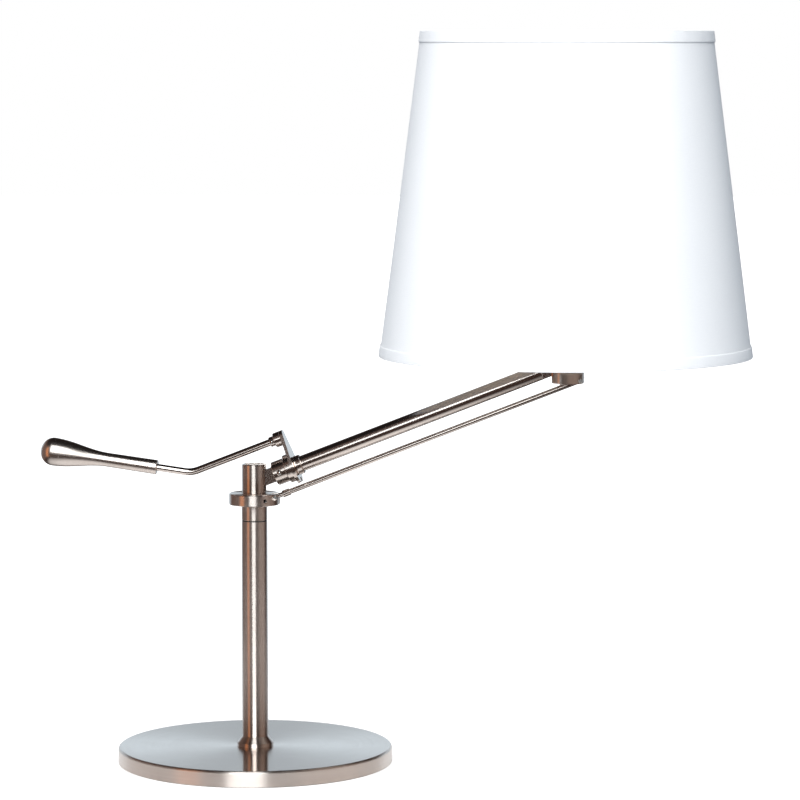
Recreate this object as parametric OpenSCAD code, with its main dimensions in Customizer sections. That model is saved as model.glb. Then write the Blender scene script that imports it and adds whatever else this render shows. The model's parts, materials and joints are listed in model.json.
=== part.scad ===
// Table lamp with a balance arm: a weighted base, a pole with a swivel, a parallel
// linkage of arm and stay that keeps the shade level, and a handle behind the pole.
// Millimetres, +Z up. Origin: centre of the base's underside. +X: along the arm.

/* [Base] */
// Diameter of the round base
base_d = 254; // [230:1:280]
// Height of the base
base_h = 15; // [14:0.5:20]
// Radius of the rolled top edge of the base cover
base_edge_r = 2.5; // [2:0.5:4]
// Sheet thickness of the base cover
cover_t = 1.2; // [0.8:0.1:1.6]
// Thickness of the felt under the base
felt_t = 1.6; // [1:0.1:2]

/* [Pole] */
// Outside diameter of the pole
pole_d = 24; // [23.4:0.2:25]
// Wall thickness of the pole tube
pole_wall = 1.5; // [1.2:0.1:2]
// Height of the seam where the pole ends and the swivel begins
seam_z = 225; // [150:1:400]
// Diameter of the collar at the pole's foot
foot_d = 33.6; // [30:0.2:40]
// Height of the straight rim of that collar
foot_rim_h = 3.2; // [2:0.2:5]
// Height of the cone above the rim
foot_cone_h = 5.8; // [4:0.2:12]

/* [Knuckle] */
// Height of the turning sleeve between the seam and the pivot ring
sleeve_h = 14.6; // [14.2:0.2:20]
// Diameter of the pivot ring
ring_d = 47; // [46.4:0.2:50]
// Thickness of the pivot ring
ring_h = 10.2; // [9:0.2:11]
// Diameter of the slotted post above the ring
post_d = 23; // [22.6:0.2:24]
// Height of the slotted post above the ring
post_h = 27; // [22:0.5:32]
// Height of the arm's pivot above the ring
pivot_rise = 10.5; // [10:0.1:12]

/* [Linkage] */
// Distance between the two pivots of the arm
arm_length = 302.5; // [240:0.5:400]
// Angle of the arm above the level, as stored
arm_angle = 21.6; // [10:0.2:35]
// Distance of the stay's pin from the arm's pivot, outwards
stay_out = 20.6; // [20:0.1:20.8]
// Depth of the stay's pin below the arm's pivot
stay_drop = 13.5; // [13.2:0.1:14.4]
// Diameter of the stay
stay_d = 5; // [4:0.2:5.2]
// Diameter of the arm tube
tube_d = 14.6; // [13:0.2:15]
// Thickness of the flat tangs at both ends of the arm
tang_t = 8; // [6:0.5:8]
// Height of the flat tangs
tang_h = 14; // [12:0.5:14]

/* [Handle] */
// Height of the handle's rod above the arm's centre line
handle_rise = 28.8; // [26:0.2:32]
// Diameter of the handle's rod
handle_rod_d = 6.6; // [5:0.2:7]
// Bend between the rod's two straight runs
handle_bend = 29.4; // [10:0.2:40]
// Distance of that bend behind the arm's pivot
bend_back = 51.7; // [45:0.1:80]
// Length of the grip
grip_l = 110.5; // [95:0.5:130]
// Largest diameter of the grip, at its bulb
grip_bulb_d = 26.2; // [20:0.2:30]
// Smallest diameter of the grip, at its waist
grip_waist_d = 13; // [11:0.2:15]

/* [Head] */
// Distance of the head's axis from the arm's far pivot
head_out = 6; // [5.6:0.1:6.2]
// Diameter of the head post
head_post_d = 26; // [25.6:0.1:26]
// Height of the head post
head_post_h = 35.6; // [33:0.2:45]
// Thickness of the half-round plate at the foot of the head post
plate_h = 10.2; // [9.6:0.2:12]

/* [Socket] */
// Diameter of the lamp socket
socket_d = 37; // [36:0.2:38]
// Height of the socket's shell
socket_h = 37; // [36:0.5:40]
// Diameter of the bulb's globe
bulb_d = 60; // [45:1:70]

/* [Shade] */
// Height of the shade
shade_h = 294; // [250:1:320]
// Diameter of the shade at the bottom
shade_bottom_d = 340; // [300:1:360]
// Diameter of the shade at the top
shade_top_d = 265; // [220:1:300]
// Height of the shade's lower edge above the arm's far pivot
shade_rise = 8.8; // [8:0.2:14]
// Thickness of the fabric with its stiff backing
fabric_t = 1.2; // [0.8:0.1:1.6]
// Thickness of the folded trim band
trim_t = 0.6; // [0.4:0.1:1]
// Height of the trim bands
trim_h = 10; // [6:0.5:14]
// Diameter of the shade's wire
wire_d = 3.2; // [2.4:0.2:4]

/* [Hidden] */

$fn = 96;
cut = 0.5;            // how far a cutter runs past the face it opens
slack = 0.05;         // radial play of a turning or sliding fit
snug = 0.02;          // radial play of a fixed fit
part_gap = 0.1;       // gap between fixed parts that don't bear on each other
edge = 0.6;           // chamfer on turned parts
fine_edge = 0.4;      // smaller chamfer on the slim ones

// Base
base_r = base_d / 2;
skirt_z = 0.6;        // gap between the cover's skirt and the table
roll_steps = 8;       // flats of the rolled edge in the outline
filling_r = base_r - cover_t - 2 * part_gap;
weight_top = base_h - cover_t - part_gap;
weight_chamfer = 2.2;
recess_r = 17;
recess_h = 5.5;
channel_w = 9;
channel_h = 9;
washer_r = 14;
washer_h = 1.5;
nut_r = 8.5;
nut_h = 3.6;
inlet_z = felt_t + channel_h / 2;
grommet_r = 4.2;
grommet_flange_r = 5.4;
grommet_flange_t = 1.2;
grommet_l = 7;
cord_hole_r = 3.1;

// Threaded nipples, the same thread in the pole's foot and in the head
thread_r = 4.85;
thread_bore_r = 3.2;
thread_hole_r = thread_r + slack;

// Pole and swivel
pole_r = pole_d / 2;
pole_bore_r = pole_r - pole_wall;
foot_top = base_h + foot_rim_h + foot_cone_h;
plug_l = 18;
pole_nipple_z = felt_t + 0.3;
pole_nipple_top = foot_top + plug_l - 5.7;
seam_h = 1;
spigot_r = 7;
sleeve_z = seam_z + seam_h;
shelf_z = sleeve_z + 7.5;
cavity_r = 9.5;
spring_washer_r = 9.2;
spring_washer_h = 0.8;
swivel_nut_r = 9;
swivel_nut_h = 3.8;
stop_at = 9;          // radius of the swivel's stop pin
stop_r = 0.9;
stop_h = 2;
stop_clear = 0.6;     // room above the stop pin
stop_groove_w = 2.2;
stop_bar_w = 1.1;
ring_z = sleeve_z + sleeve_h;
ring_r = ring_d / 2;
ring_top = ring_z + ring_h;
neck_z = ring_z - 1.6;
spigot_top = neck_z - 0.3;
post_r = post_d / 2;
post_top = ring_top + post_h;
pivot_z = ring_top + pivot_rise;
friction_washer_t = 0.9;
friction_washer_r = 6;
slot_w = tang_t + 2 * friction_washer_t + 4 * slack;
slot_z = ring_top + 1.2;
pivot_pin_r = 2.5;
blind = 9;            // a pivot pin starts this far in front of the arm's plane
pin_sink = 0.2;       // how far a pin's or screw's end stays below its hole's end
stay_pin_r = 1.5;
stay_pin_half = 9;
pin_sink_r = 2.25;
stay_r = stay_d / 2;
stay_slot_w = 6;
eye_r = 2.7;
eye_t = 5.4;
eye_room = 1.6;       // free space behind the stay's eye in its slot
grub_r = 1.85;
grub_key_r = 1;
grub_key_depth = 1.5;
ring_grub_sink = 2.4;
plate_grub_sink = 2;
grub_angle = -56;     // direction of the ring's set screw, from +X

// Arm, along its own axis from the near pivot
tang_end = 28.9;
boss_start = 20.9;
boss_end = 33.3;
boss_r = 11.2;
tube_start = 29.6;
tube_r = tube_d / 2;
tube_wall = 1.2;
tube_gap = 17;        // the tube stops this far short of the far pivot
collar_end = boss_end + 5.7;
collar_r = 13.4;
link_t = 3;
link_end = collar_end + link_t;
link_r = 16;
link_tip_r = 6.9;
ferrule_l = 6.2;
ferrule_r = 9;
notch_w = 7;
notch_u = -11.2;      // top of the notch that lets the stay pass
screw_s = 27;
screw_head_r = 2.4;
screw_shank_r = 1.6;
screw_seat = 10.2;
screw_wall = 2;       // metal left past the end of the screw's hole

// Handle
handle_boss_l = 7;
handle_neck_l = 4.5;
handle_neck_r = 4.7;
handle_screw_r = 2.05;
handle_rod_r = handle_rod_d / 2;
rod_wall = 1.5;       // metal left past the end of the rod's hole
bend_r = 25;
bend_run = bend_r * tan(handle_bend / 2);
bend_swell = 0.05;    // the bend is this much fuller than the straight runs,
bend_overlap = 1;     // which reach this far into it
grip_start = 32.7;
grip_bore_l = 22;
grip_cap = 12;        // length of the grip's round end
grip_fall = 64;       // where the grip reaches its waist, from its tip
grip_flare = 0.2;
grip_steps = 18;
cap_step = 10;        // degrees between the points of the round end

// Stay, along its own axis from the near pin
stay_rod_start = 8;
stay_neck_r = stay_r - 0.3;
stay_ferrule_start = 6.5;
stay_ferrule_l = 7;
stay_ferrule_r = 3.3;

// Head
far_x = arm_length * cos(arm_angle);
far_z = pivot_z + arm_length * sin(arm_angle);
head_x = far_x + head_out;
stay_end_x = far_x + stay_out;
stay_end_z = far_z - stay_drop;
plate_z = stay_end_z - 2.8;
plate_cut = 2.65;     // the half-round plate starts this far past the far pivot
head_post_r = head_post_d / 2;
head_top = plate_z + head_post_h;
tang_slot_out = tang_h / 2 + 1;
tang_slot_top = far_z + tang_h / 2 + 0.8;
stay_slot_top = stay_end_z + 3.3;
wire_web = 0.5;       // metal between the tang's slot and the nipple's hole
head_nipple_z = tang_slot_top + wire_web + 0.2;
head_pin_end = blind + 2;
plate_grub_z = plate_z + plate_h / 2;

// Socket
socket_r = socket_d / 2;
shell_t = 1.2;
cap_h = 9.5;
cap_lip = 1.5;
cap_step_h = 0.3;
shell_z = head_top + cap_h + cap_lip;
shell_top = shell_z + socket_h;
insulator_r = socket_r - shell_t - 0.1;
insulator_z = shell_z + 0.2;
insulator_floor = 8.8;
insulator_sink = 0.6;
insulator_bore_r = 13.6;
nipple_end_gap = 1.5;
screw_shell_r = 13.55;
screw_shell_t = 0.4;
screw_shell_h = socket_h - insulator_floor - 3;
contact_r = 4;
contact_tip_r = 2.5;
contact_h = 1.4;
bulb_base_r = 13;
bulb_tip_r = 4.5;
bulb_tip_drop = 0.5;
bulb_shoulder = 4;
bulb_base_z = insulator_z + insulator_floor + 2;
glass_z = shell_top - 1;
glass_neck_r = 12.8;
glass_t = 0.8;
bulb_r = bulb_d / 2;
globe_z = glass_z + 52;
globe_from = -40;     // latitude at which the neck meets the globe
neck_steps = 8;
globe_steps = 16;
switch_z = insulator_z + 4.4;
switch_stem_r = 1.8;
switch_in = 9.2;
switch_knob_in = 25;
switch_knob_l = 8;
switch_knob_r = 6.5;
flutes = 8;
flute_r = 1.2;

// Shade
shade_z = far_z + shade_rise;
shade_top = shade_z + shade_h;
cloth_bottom_r = shade_bottom_d / 2 - trim_t;
cloth_top_r = shade_top_d / 2 - trim_t;
wire_r = wire_d / 2;
bottom_ring_z = shade_z + 3;
top_ring_z = shade_top - 3;
seat_z = shell_top - 10;
seat_w = 3;
seat_h = 2.5;
shade_nut_w = 3.5;
shade_nut_h = 4.5;
fitter_h = 2;
fitter_r = 23.5;
fitter_z = seat_z + seat_h;
spoke_r = 1.4;
spoke_count = 3;
spoke_first = 90;
spoke_in = fitter_r - 1;

// Colours
nickel = [0.66, 0.62, 0.58];
dark_steel = [0.42, 0.41, 0.40];
iron = [0.25, 0.25, 0.26];
black = [0.10, 0.10, 0.10];
brass = [0.78, 0.64, 0.34];
white_cloth = [0.94, 0.95, 0.97];

// Points of an arc about (cx, cy), angles in degrees
function arc(cx, cy, r, from, to, steps) =
  [for (i = [0:steps]) let (a = from + (to - from) * i / steps)
    [cx + r * cos(a), cy + r * sin(a)]];

// Outside radius of the shade's cloth at height z
function cloth_r(z) =
  cloth_bottom_r + (cloth_top_r - cloth_bottom_r) * (z - shade_z) / shade_h;

// Radius of the wire ring that lies inside the cloth at height z
function wire_ring_r(z) = cloth_r(z) - fabric_t - wire_r - 0.1;

// Grip radius at distance t from its tip: a round end, a raised-cosine fall to the
// waist, then a slight flare to the rod
function grip_radius(t) =
  let (bulb = grip_bulb_d / 2, waist = grip_waist_d / 2)
  t < grip_cap ? bulb * sqrt(1 - pow(1 - t / grip_cap, 2)) :
  t < grip_fall ?
    waist + (bulb - waist) * (1 + cos(180 * (t - grip_cap) / (grip_fall - grip_cap))) / 2 :
  waist + grip_flare * (t - grip_fall) / (grip_l - grip_fall);

// Bulb outline from the neck up: a cubic that leaves the neck upright and meets the
// globe along its tangent, then the globe's arc
function neck_radius(w) =
  let (end_r = bulb_r * cos(globe_from),
       rise = globe_z + bulb_r * sin(globe_from) - glass_z,
       slope = -tan(globe_from) * rise)
  glass_neck_r * (2 * pow(w, 3) - 3 * pow(w, 2) + 1)
  + end_r * (3 * pow(w, 2) - 2 * pow(w, 3)) + slope * (pow(w, 3) - pow(w, 2));
function bulb_outline(inset) =
  let (neck_top = globe_z + bulb_r * sin(globe_from))
  concat(
    [for (i = [0:neck_steps - 1]) let (w = i / neck_steps)
      [neck_radius(w) - inset, glass_z + w * (neck_top - glass_z)]],
    arc(0, globe_z, bulb_r - inset, globe_from, 90, globe_steps));

// Plain shapes
module tube(outer_r, inner_r, height) {
  difference() {
    cylinder(r = outer_r, h = height);
    translate([0, 0, -cut])
      cylinder(r = inner_r, h = height + 2 * cut);
  }
}

module at_z(z) {
  translate([0, 0, z])
    children();
}

// A round bar along +X between two stations
module along(radius, from, to) {
  translate([from, 0, 0])
    rotate([0, 90, 0])
      cylinder(r = radius, h = to - from);
}

// A round bar across the arm's plane, from y = from to y = to
module across(radius, from, to) {
  translate([0, to, 0])
    rotate([90, 0, 0])
      cylinder(r = radius, h = to - from);
}

// A turned disc with both outer edges chamfered
module chamfered_disc(radius, height, chamfer) {
  rotate_extrude()
    polygon([
      [0, 0], [radius - chamfer, 0], [radius, chamfer],
      [radius, height - chamfer], [radius - chamfer, height], [0, height]
    ]);
}

// A flat bar in the arm's plane with a round end about the pivot
module flat_tang(from, to, half_height, thickness) {
  rotate([90, 0, 0])
    linear_extrude(height = thickness, center = true)
      union() {
        circle(r = half_height);
        translate([from, -half_height])
          square([to - from, 2 * half_height]);
      }
}

// A headless set screw along +X with a key socket in its outer end
module grub_screw(from, to) {
  difference() {
    along(grub_r, from, to);
    translate([to - grub_key_depth, 0, 0])
      rotate([0, 90, 0])
        cylinder(r = grub_key_r, h = grub_key_depth + cut, $fn = 6);
  }
}

// Two thin washers, one on each side of a tang
module washer_pair() {
  for (side = [-1, 1])
    translate([0, side * (tang_t / 2 + slack + friction_washer_t / 2), 0])
      rotate([90, 0, 0])
        translate([0, 0, -friction_washer_t / 2])
          tube(friction_washer_r, pivot_pin_r + slack, friction_washer_t);
}

// A cone-shaped band between two heights, from inner to outer, both measured outwards
// from the cloth's face
module shade_band(low, high, inner, outer) {
  rotate_extrude()
    polygon([
      [cloth_r(low) + inner, low], [cloth_r(low) + outer, low],
      [cloth_r(high) + outer, high], [cloth_r(high) + inner, high]
    ]);
}

// Frames of the moving parts
module on_arm() {
  at_z(pivot_z)
    rotate([0, -arm_angle, 0])
      children();
}

module on_stay() {
  translate([stay_out, 0, pivot_z - stay_drop])
    rotate([0, -arm_angle, 0])
      children();
}

module on_grip() {
  on_arm()
    translate([-bend_back, 0, handle_rise])
      rotate([0, 180 + handle_bend, 0])
        children();
}

module on_head() {
  translate([head_x, 0, 0])
    children();
}

// Parts of the stand
module base_cover() {
  edge_x = base_r - base_edge_r;
  edge_z = base_h - base_edge_r;
  color(nickel)
    difference() {
      rotate_extrude()
        polygon(concat(
          [[thread_hole_r, base_h]],
          arc(edge_x, edge_z, base_edge_r, 90, 0, roll_steps),
          [[base_r, skirt_z], [base_r - cover_t, skirt_z]],
          arc(edge_x, edge_z, base_edge_r - cover_t, 0, 90, roll_steps),
          [[thread_hole_r, base_h - cover_t]]
        ));
      at_z(inlet_z)
        across(grommet_r + slack, base_r - grommet_l, base_r + cut);
    }
}

module base_weight() {
  color(iron)
    difference() {
      rotate_extrude()
        polygon([
          [thread_hole_r, felt_t], [filling_r, felt_t],
          [filling_r, weight_top - weight_chamfer],
          [filling_r - weight_chamfer, weight_top], [thread_hole_r, weight_top]
        ]);
      at_z(felt_t - cut)
        cylinder(r = recess_r, h = recess_h + cut);
      translate([-channel_w / 2, 0, felt_t - cut])
        cube([channel_w, base_r, channel_h + cut]);
    }
}

module felt_pad() {
  color([0.16, 0.16, 0.17])
    cylinder(r = filling_r, h = felt_t);
}

module cord_grommet() {
  color(black)
    difference() {
      union() {
        difference() {
          at_z(inlet_z)
            across(grommet_flange_r, base_r - grommet_flange_t, base_r + grommet_flange_t);
          cylinder(r = base_r + snug, h = base_h);
        }
        at_z(inlet_z)
          across(grommet_r, base_r - grommet_l, base_r + grommet_flange_t);
      }
      at_z(inlet_z)
        across(cord_hole_r, base_r - grommet_l - cut, base_r + grommet_flange_t + cut);
    }
}

module base_washer() {
  color(dark_steel)
    at_z(felt_t + recess_h - washer_h)
      tube(washer_r, thread_hole_r, washer_h);
}

module base_nut() {
  color(dark_steel)
    at_z(felt_t + recess_h - washer_h - nut_h)
      difference() {
        cylinder(r = nut_r, h = nut_h, $fn = 6);
        at_z(-cut)
          cylinder(r = thread_hole_r, h = nut_h + 2 * cut);
      }
}

module pole_foot() {
  color(nickel)
    rotate_extrude()
      polygon([
        [thread_hole_r, base_h], [foot_d / 2, base_h], [foot_d / 2, base_h + foot_rim_h],
        [pole_r, foot_top], [pole_bore_r - slack, foot_top],
        [pole_bore_r - slack, foot_top + plug_l], [thread_hole_r, foot_top + plug_l]
      ]);
}

module pole_nipple() {
  color(brass)
    at_z(pole_nipple_z)
      tube(thread_r, thread_bore_r, pole_nipple_top - pole_nipple_z);
}

module pole_tube() {
  color(nickel)
    at_z(foot_top)
      tube(pole_r, pole_bore_r, seam_z - foot_top);
}

module swivel_spigot() {
  color(dark_steel)
    union() {
      difference() {
        union() {
          at_z(seam_z - plug_l)
            cylinder(r = pole_bore_r - slack, h = plug_l);
          at_z(seam_z)
            cylinder(r = spigot_r, h = shelf_z - seam_z);
          at_z(shelf_z)
            cylinder(r = thread_r, h = spigot_top - shelf_z);
        }
        at_z(seam_z - plug_l - cut)
          cylinder(r = thread_bore_r, h = spigot_top - seam_z + plug_l + 2 * cut);
      }
      translate([-stop_at, 0, seam_z])
        cylinder(r = stop_r, h = seam_h + stop_h);
    }
}

module swivel_washer() {
  color(black)
    at_z(seam_z)
      difference() {
        tube(pole_r - edge, spigot_r + slack, seam_h);
        translate([-stop_at, 0, -cut])
          cylinder(r = stop_r + slack, h = seam_h + 2 * cut);
      }
}

module spring_washer() {
  color(dark_steel)
    at_z(shelf_z + part_gap)
      tube(spring_washer_r, thread_hole_r, spring_washer_h);
}

module swivel_nut() {
  color(dark_steel)
    at_z(shelf_z + part_gap + spring_washer_h)
      difference() {
        cylinder(r = swivel_nut_r, h = swivel_nut_h, $fn = 6);
        at_z(-cut)
          cylinder(r = thread_hole_r, h = swivel_nut_h + 2 * cut);
      }
}

// Parts that turn about the pole
module swivel_sleeve() {
  color(nickel)
    difference() {
      at_z(sleeve_z)
        chamfered_disc(pole_r, sleeve_h, fine_edge);
      at_z(sleeve_z - cut)
        cylinder(r = spigot_r + slack, h = sleeve_h);
      at_z(shelf_z)
        cylinder(r = cavity_r, h = sleeve_h);
      at_z(sleeve_z - cut)
        difference() {
          tube(stop_at + stop_groove_w / 2, stop_at - stop_groove_w / 2,
               stop_h + stop_clear + cut);
          translate([0, -stop_bar_w / 2, 0])
            cube([pole_r, stop_bar_w, stop_h + stop_clear + 2 * cut]);
        }
    }
}

module pivot_ring() {
  color(nickel)
    difference() {
      at_z(ring_z)
        chamfered_disc(ring_r, ring_h, edge);
      at_z(ring_z - cut)
        cylinder(r = cavity_r, h = ring_h + 2 * cut);
      translate([stay_out - eye_r - eye_room, -stay_slot_w / 2, ring_z - cut])
        cube([ring_r, stay_slot_w, ring_h + 2 * cut]);
      translate([stay_out, 0, pivot_z - stay_drop]) {
        across(stay_pin_r + snug, -ring_r, ring_r);
        across(pin_sink_r, -ring_r, -stay_pin_half);
        across(pin_sink_r, stay_pin_half, ring_r);
      }
      at_z(ring_z + ring_h / 2)
        rotate([0, 0, grub_angle])
          along(grub_r + snug, 0, ring_r + cut);
    }
}

module knuckle_post() {
  color(nickel)
    difference() {
      union() {
        at_z(neck_z)
          cylinder(r = cavity_r - slack, h = ring_top - neck_z);
        at_z(ring_top)
          chamfered_disc(post_r, post_h, edge);
      }
      translate([-tang_slot_out, -slot_w / 2, slot_z])
        cube([2 * post_r, slot_w, post_h]);
      at_z(neck_z - cut)
        cylinder(r = thread_bore_r, h = slot_z - neck_z + 2 * cut);
      at_z(pivot_z)
        across(pivot_pin_r + snug, -blind - snug, post_r + cut);
    }
}

module ring_screw() {
  color(dark_steel)
    at_z(ring_z + ring_h / 2)
      rotate([0, 0, grub_angle])
        grub_screw(cavity_r + part_gap, ring_r - ring_grub_sink);
}

module arm_pin() {
  color(dark_steel)
    at_z(pivot_z)
      across(pivot_pin_r, -blind, post_r - pin_sink);
}

module arm_washers() {
  color(black)
    at_z(pivot_z)
      washer_pair();
}

module near_stay_pin() {
  color(dark_steel)
    translate([stay_out, 0, pivot_z - stay_drop])
      across(stay_pin_r, -stay_pin_half, stay_pin_half);
}

// Parts of the arm and its handle
module near_tang() {
  color(nickel)
    on_arm()
      difference() {
        flat_tang(0, tang_end, tang_h / 2, tang_t);
        across(pivot_pin_r + slack, -tang_t, tang_t);
        translate([screw_s, 0, 0])
          across(screw_shank_r + snug, -tang_t, tang_t);
      }
}

module fork_boss() {
  color(nickel)
    on_arm()
      difference() {
        translate([boss_start, 0, 0])
          rotate([0, 90, 0])
            chamfered_disc(boss_r, boss_end - boss_start, edge);
        translate([boss_start - cut, -tang_t / 2 - snug, -tang_h / 2 - snug])
          cube([tang_end + part_gap - boss_start + cut, tang_t + 2 * snug,
                tang_h + 2 * snug]);
        along(tube_r + slack, tube_start - part_gap, boss_end + cut);
        translate([screw_s, 0, 0]) {
          across(screw_shank_r + snug, -boss_r - cut, boss_r - screw_wall);
          across(screw_head_r + part_gap, -boss_r - cut, -screw_seat);
        }
      }
}

// A screw across the boss, its domed head on the front
module fork_screw() {
  color(dark_steel)
    on_arm()
      translate([screw_s, 0, 0])
        union() {
          intersection() {
            translate([0, -screw_seat, 0])
              sphere(r = screw_head_r);
            across(2 * screw_head_r, -2 * boss_r, -screw_seat);
          }
          across(screw_shank_r, -screw_seat, boss_r - screw_wall - pin_sink);
        }
}

// The notch under collar and link plate, along the whole knuckle
module stay_notch() {
  translate([boss_end - cut, -notch_w / 2, notch_u - link_r])
    cube([link_end - boss_end + 2 * cut, notch_w, link_r]);
}

module arm_collar() {
  color(nickel)
    on_arm()
      difference() {
        translate([boss_end, 0, 0])
          rotate([0, 90, 0])
            chamfered_disc(collar_r, collar_end - boss_end, edge / 2);
        along(tube_r + slack, boss_end - cut, collar_end + cut);
        stay_notch();
      }
}

// An egg-shaped plate that carries the handle above the arm: two discs and the
// four-cornered piece between their common tangents
module link_plate() {
  lean = asin((link_r - link_tip_r) / handle_rise);
  color(nickel)
    on_arm()
      difference() {
        translate([collar_end, 0, 0])
          rotate([90, 0, 90])
            linear_extrude(height = link_t)
              union() {
                circle(r = link_r);
                translate([0, handle_rise])
                  circle(r = link_tip_r);
                polygon([
                  [link_r * cos(lean), link_r * sin(lean)],
                  [link_tip_r * cos(lean), handle_rise + link_tip_r * sin(lean)],
                  [-link_tip_r * cos(lean), handle_rise + link_tip_r * sin(lean)],
                  [-link_r * cos(lean), link_r * sin(lean)]
                ]);
              }
        along(tube_r + slack, collar_end - cut, link_end + cut);
        stay_notch();
      }
}

module arm_ferrule() {
  color(nickel)
    on_arm()
      difference() {
        translate([link_end, 0, 0])
          rotate([0, 90, 0])
            chamfered_disc(ferrule_r, ferrule_l, edge);
        along(tube_r + slack, link_end - cut, link_end + ferrule_l + cut);
      }
}

module arm_tube() {
  color(nickel)
    on_arm()
      difference() {
        along(tube_r, tube_start, arm_length - tube_gap);
        along(tube_r - tube_wall, tube_start - cut, arm_length - tube_gap + cut);
      }
}

module far_tang() {
  color(nickel)
    on_arm()
      difference() {
        union() {
          translate([arm_length, 0, 0])
            mirror([1, 0, 0])
              flat_tang(0, tube_gap - slack, tang_h / 2, tang_t);
          along(tube_r - tube_wall - slack, arm_length - tube_gap - plug_l,
                arm_length - tube_gap + slack);
        }
        translate([arm_length, 0, 0])
          across(pivot_pin_r + slack, -tang_t, tang_t);
      }
}

module handle_boss() {
  boss_back = collar_end - handle_boss_l;
  color(nickel)
    on_arm()
      at_z(handle_rise)
        difference() {
          union() {
            translate([boss_back, 0, 0])
              rotate([0, 90, 0])
                chamfered_disc(link_tip_r, handle_boss_l, edge);
            along(handle_neck_r, boss_back - handle_neck_l, boss_back);
          }
          along(handle_rod_r + slack, boss_back - handle_neck_l - cut,
                collar_end - rod_wall);
          translate([boss_back - handle_neck_l / 2, 0, 0])
            across(screw_shank_r + snug, -handle_neck_r - cut, 0);
        }
}

module handle_screw() {
  color(dark_steel)
    on_arm()
      translate([collar_end - handle_boss_l - handle_neck_l / 2, 0, handle_rise])
        union() {
          across(screw_shank_r, -handle_neck_r, -handle_rod_r - snug);
          intersection() {
            translate([0, -handle_neck_r, 0])
              sphere(r = handle_screw_r);
            across(handle_neck_r, -2 * handle_neck_r, -handle_neck_r);
          }
        }
}

module handle_rod() {
  color(nickel)
    union() {
      on_arm()
        at_z(handle_rise) {
          along(handle_rod_r, bend_run - bend_back - bend_overlap,
                collar_end - rod_wall - part_gap);
          translate([bend_run - bend_back, 0, bend_r])
            rotate([90, 0, 0])
              rotate([0, 0, -90 - handle_bend])
                rotate_extrude(angle = handle_bend)
                  translate([bend_r, 0])
                    circle(r = handle_rod_r + bend_swell);
        }
      on_grip()
        along(handle_rod_r, bend_run - bend_overlap, grip_start + grip_bore_l - pin_sink);
    }
}

module grip() {
  color(nickel)
    on_grip()
      translate([grip_start, 0, 0])
        rotate([0, 90, 0])
          rotate_extrude()
            polygon(concat(
              [[handle_rod_r + slack, 0], [grip_radius(grip_l), 0]],
              [for (i = [0:grip_steps])
                let (t = grip_fall + (grip_cap - grip_fall) * i / grip_steps)
                [grip_radius(t), grip_l - t]],
              [for (a = [cap_step:cap_step:90])
                [grip_bulb_d / 2 * cos(a), grip_l - grip_cap * (1 - sin(a))]],
              [[0, grip_bore_l], [handle_rod_r + slack, grip_bore_l]]
            ));
}

// Parts of the stay
module stay_rod() {
  color(nickel)
    on_stay()
      difference() {
        union() {
          along(stay_r, stay_rod_start, arm_length);
          translate([arm_length, 0, 0])
            across(eye_r, -eye_t / 2, eye_t / 2);
        }
        translate([arm_length, 0, 0])
          across(stay_pin_r + 2 * slack, -eye_t, eye_t);
      }
}

module stay_ferrule() {
  color(nickel)
    on_stay()
      difference() {
        union() {
          across(eye_r, -eye_t / 2, eye_t / 2);
          along(stay_neck_r, 0, stay_ferrule_start);
          translate([stay_ferrule_start, 0, 0])
            rotate([0, 90, 0])
              chamfered_disc(stay_ferrule_r, stay_ferrule_l, fine_edge);
        }
        across(stay_pin_r + slack, -eye_t, eye_t);
        along(stay_r + snug, stay_rod_start - part_gap,
              stay_ferrule_start + stay_ferrule_l + cut);
      }
}

// Parts of the head with its socket, bulb and shade
module head_post() {
  color(nickel)
    difference() {
      on_head()
        at_z(plate_z)
          chamfered_disc(head_post_r, head_post_h, fine_edge);
      translate([0, -slot_w / 2, plate_z - cut])
        cube([far_x + tang_slot_out, slot_w, tang_slot_top - plate_z + cut]);
      translate([0, -stay_slot_w / 2, plate_z - cut])
        cube([2 * head_x, stay_slot_w, stay_slot_top - plate_z + cut]);
      translate([far_x, 0, far_z])
        across(pivot_pin_r + snug, -blind - snug, head_post_r + cut);
      on_head() {
        at_z(tang_slot_top - cut)
          cylinder(r = thread_bore_r, h = head_post_h);
        at_z(tang_slot_top + wire_web)
          cylinder(r = thread_hole_r, h = head_post_h);
      }
    }
}

module head_plate() {
  color(nickel)
    difference() {
      translate([far_x, 0, plate_z])
        chamfered_disc(ring_r, plate_h, edge);
      translate([far_x + plate_cut - 2 * ring_r, -ring_r - cut, plate_z - cut])
        cube([2 * ring_r, 2 * ring_r + 2 * cut, plate_h + 2 * cut]);
      on_head()
        at_z(plate_z - cut)
          cylinder(r = head_post_r + snug, h = plate_h + 2 * cut);
      translate([far_x, -stay_slot_w / 2, plate_z - cut])
        cube([2 * ring_r, stay_slot_w, stay_slot_top - plate_z + cut]);
      translate([stay_end_x, 0, stay_end_z]) {
        across(stay_pin_r + snug, -ring_r, ring_r);
        across(pin_sink_r, -ring_r, -stay_pin_half);
        across(pin_sink_r, stay_pin_half, ring_r);
      }
      on_head()
        at_z(plate_grub_z)
          rotate([0, 0, 90])
            along(grub_r + snug, 0, ring_r + cut);
    }
}

module plate_screw() {
  color(dark_steel)
    on_head()
      at_z(plate_grub_z)
        rotate([0, 0, 90])
          grub_screw(head_post_r + part_gap, ring_r - plate_grub_sink);
}

module head_pin() {
  color(dark_steel)
    translate([far_x, 0, far_z])
      across(pivot_pin_r, -blind, head_pin_end);
}

module head_washers() {
  color(black)
    translate([far_x, 0, far_z])
      washer_pair();
}

module far_stay_pin() {
  color(dark_steel)
    translate([stay_end_x, 0, stay_end_z])
      across(stay_pin_r, -stay_pin_half, stay_pin_half);
}

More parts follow.
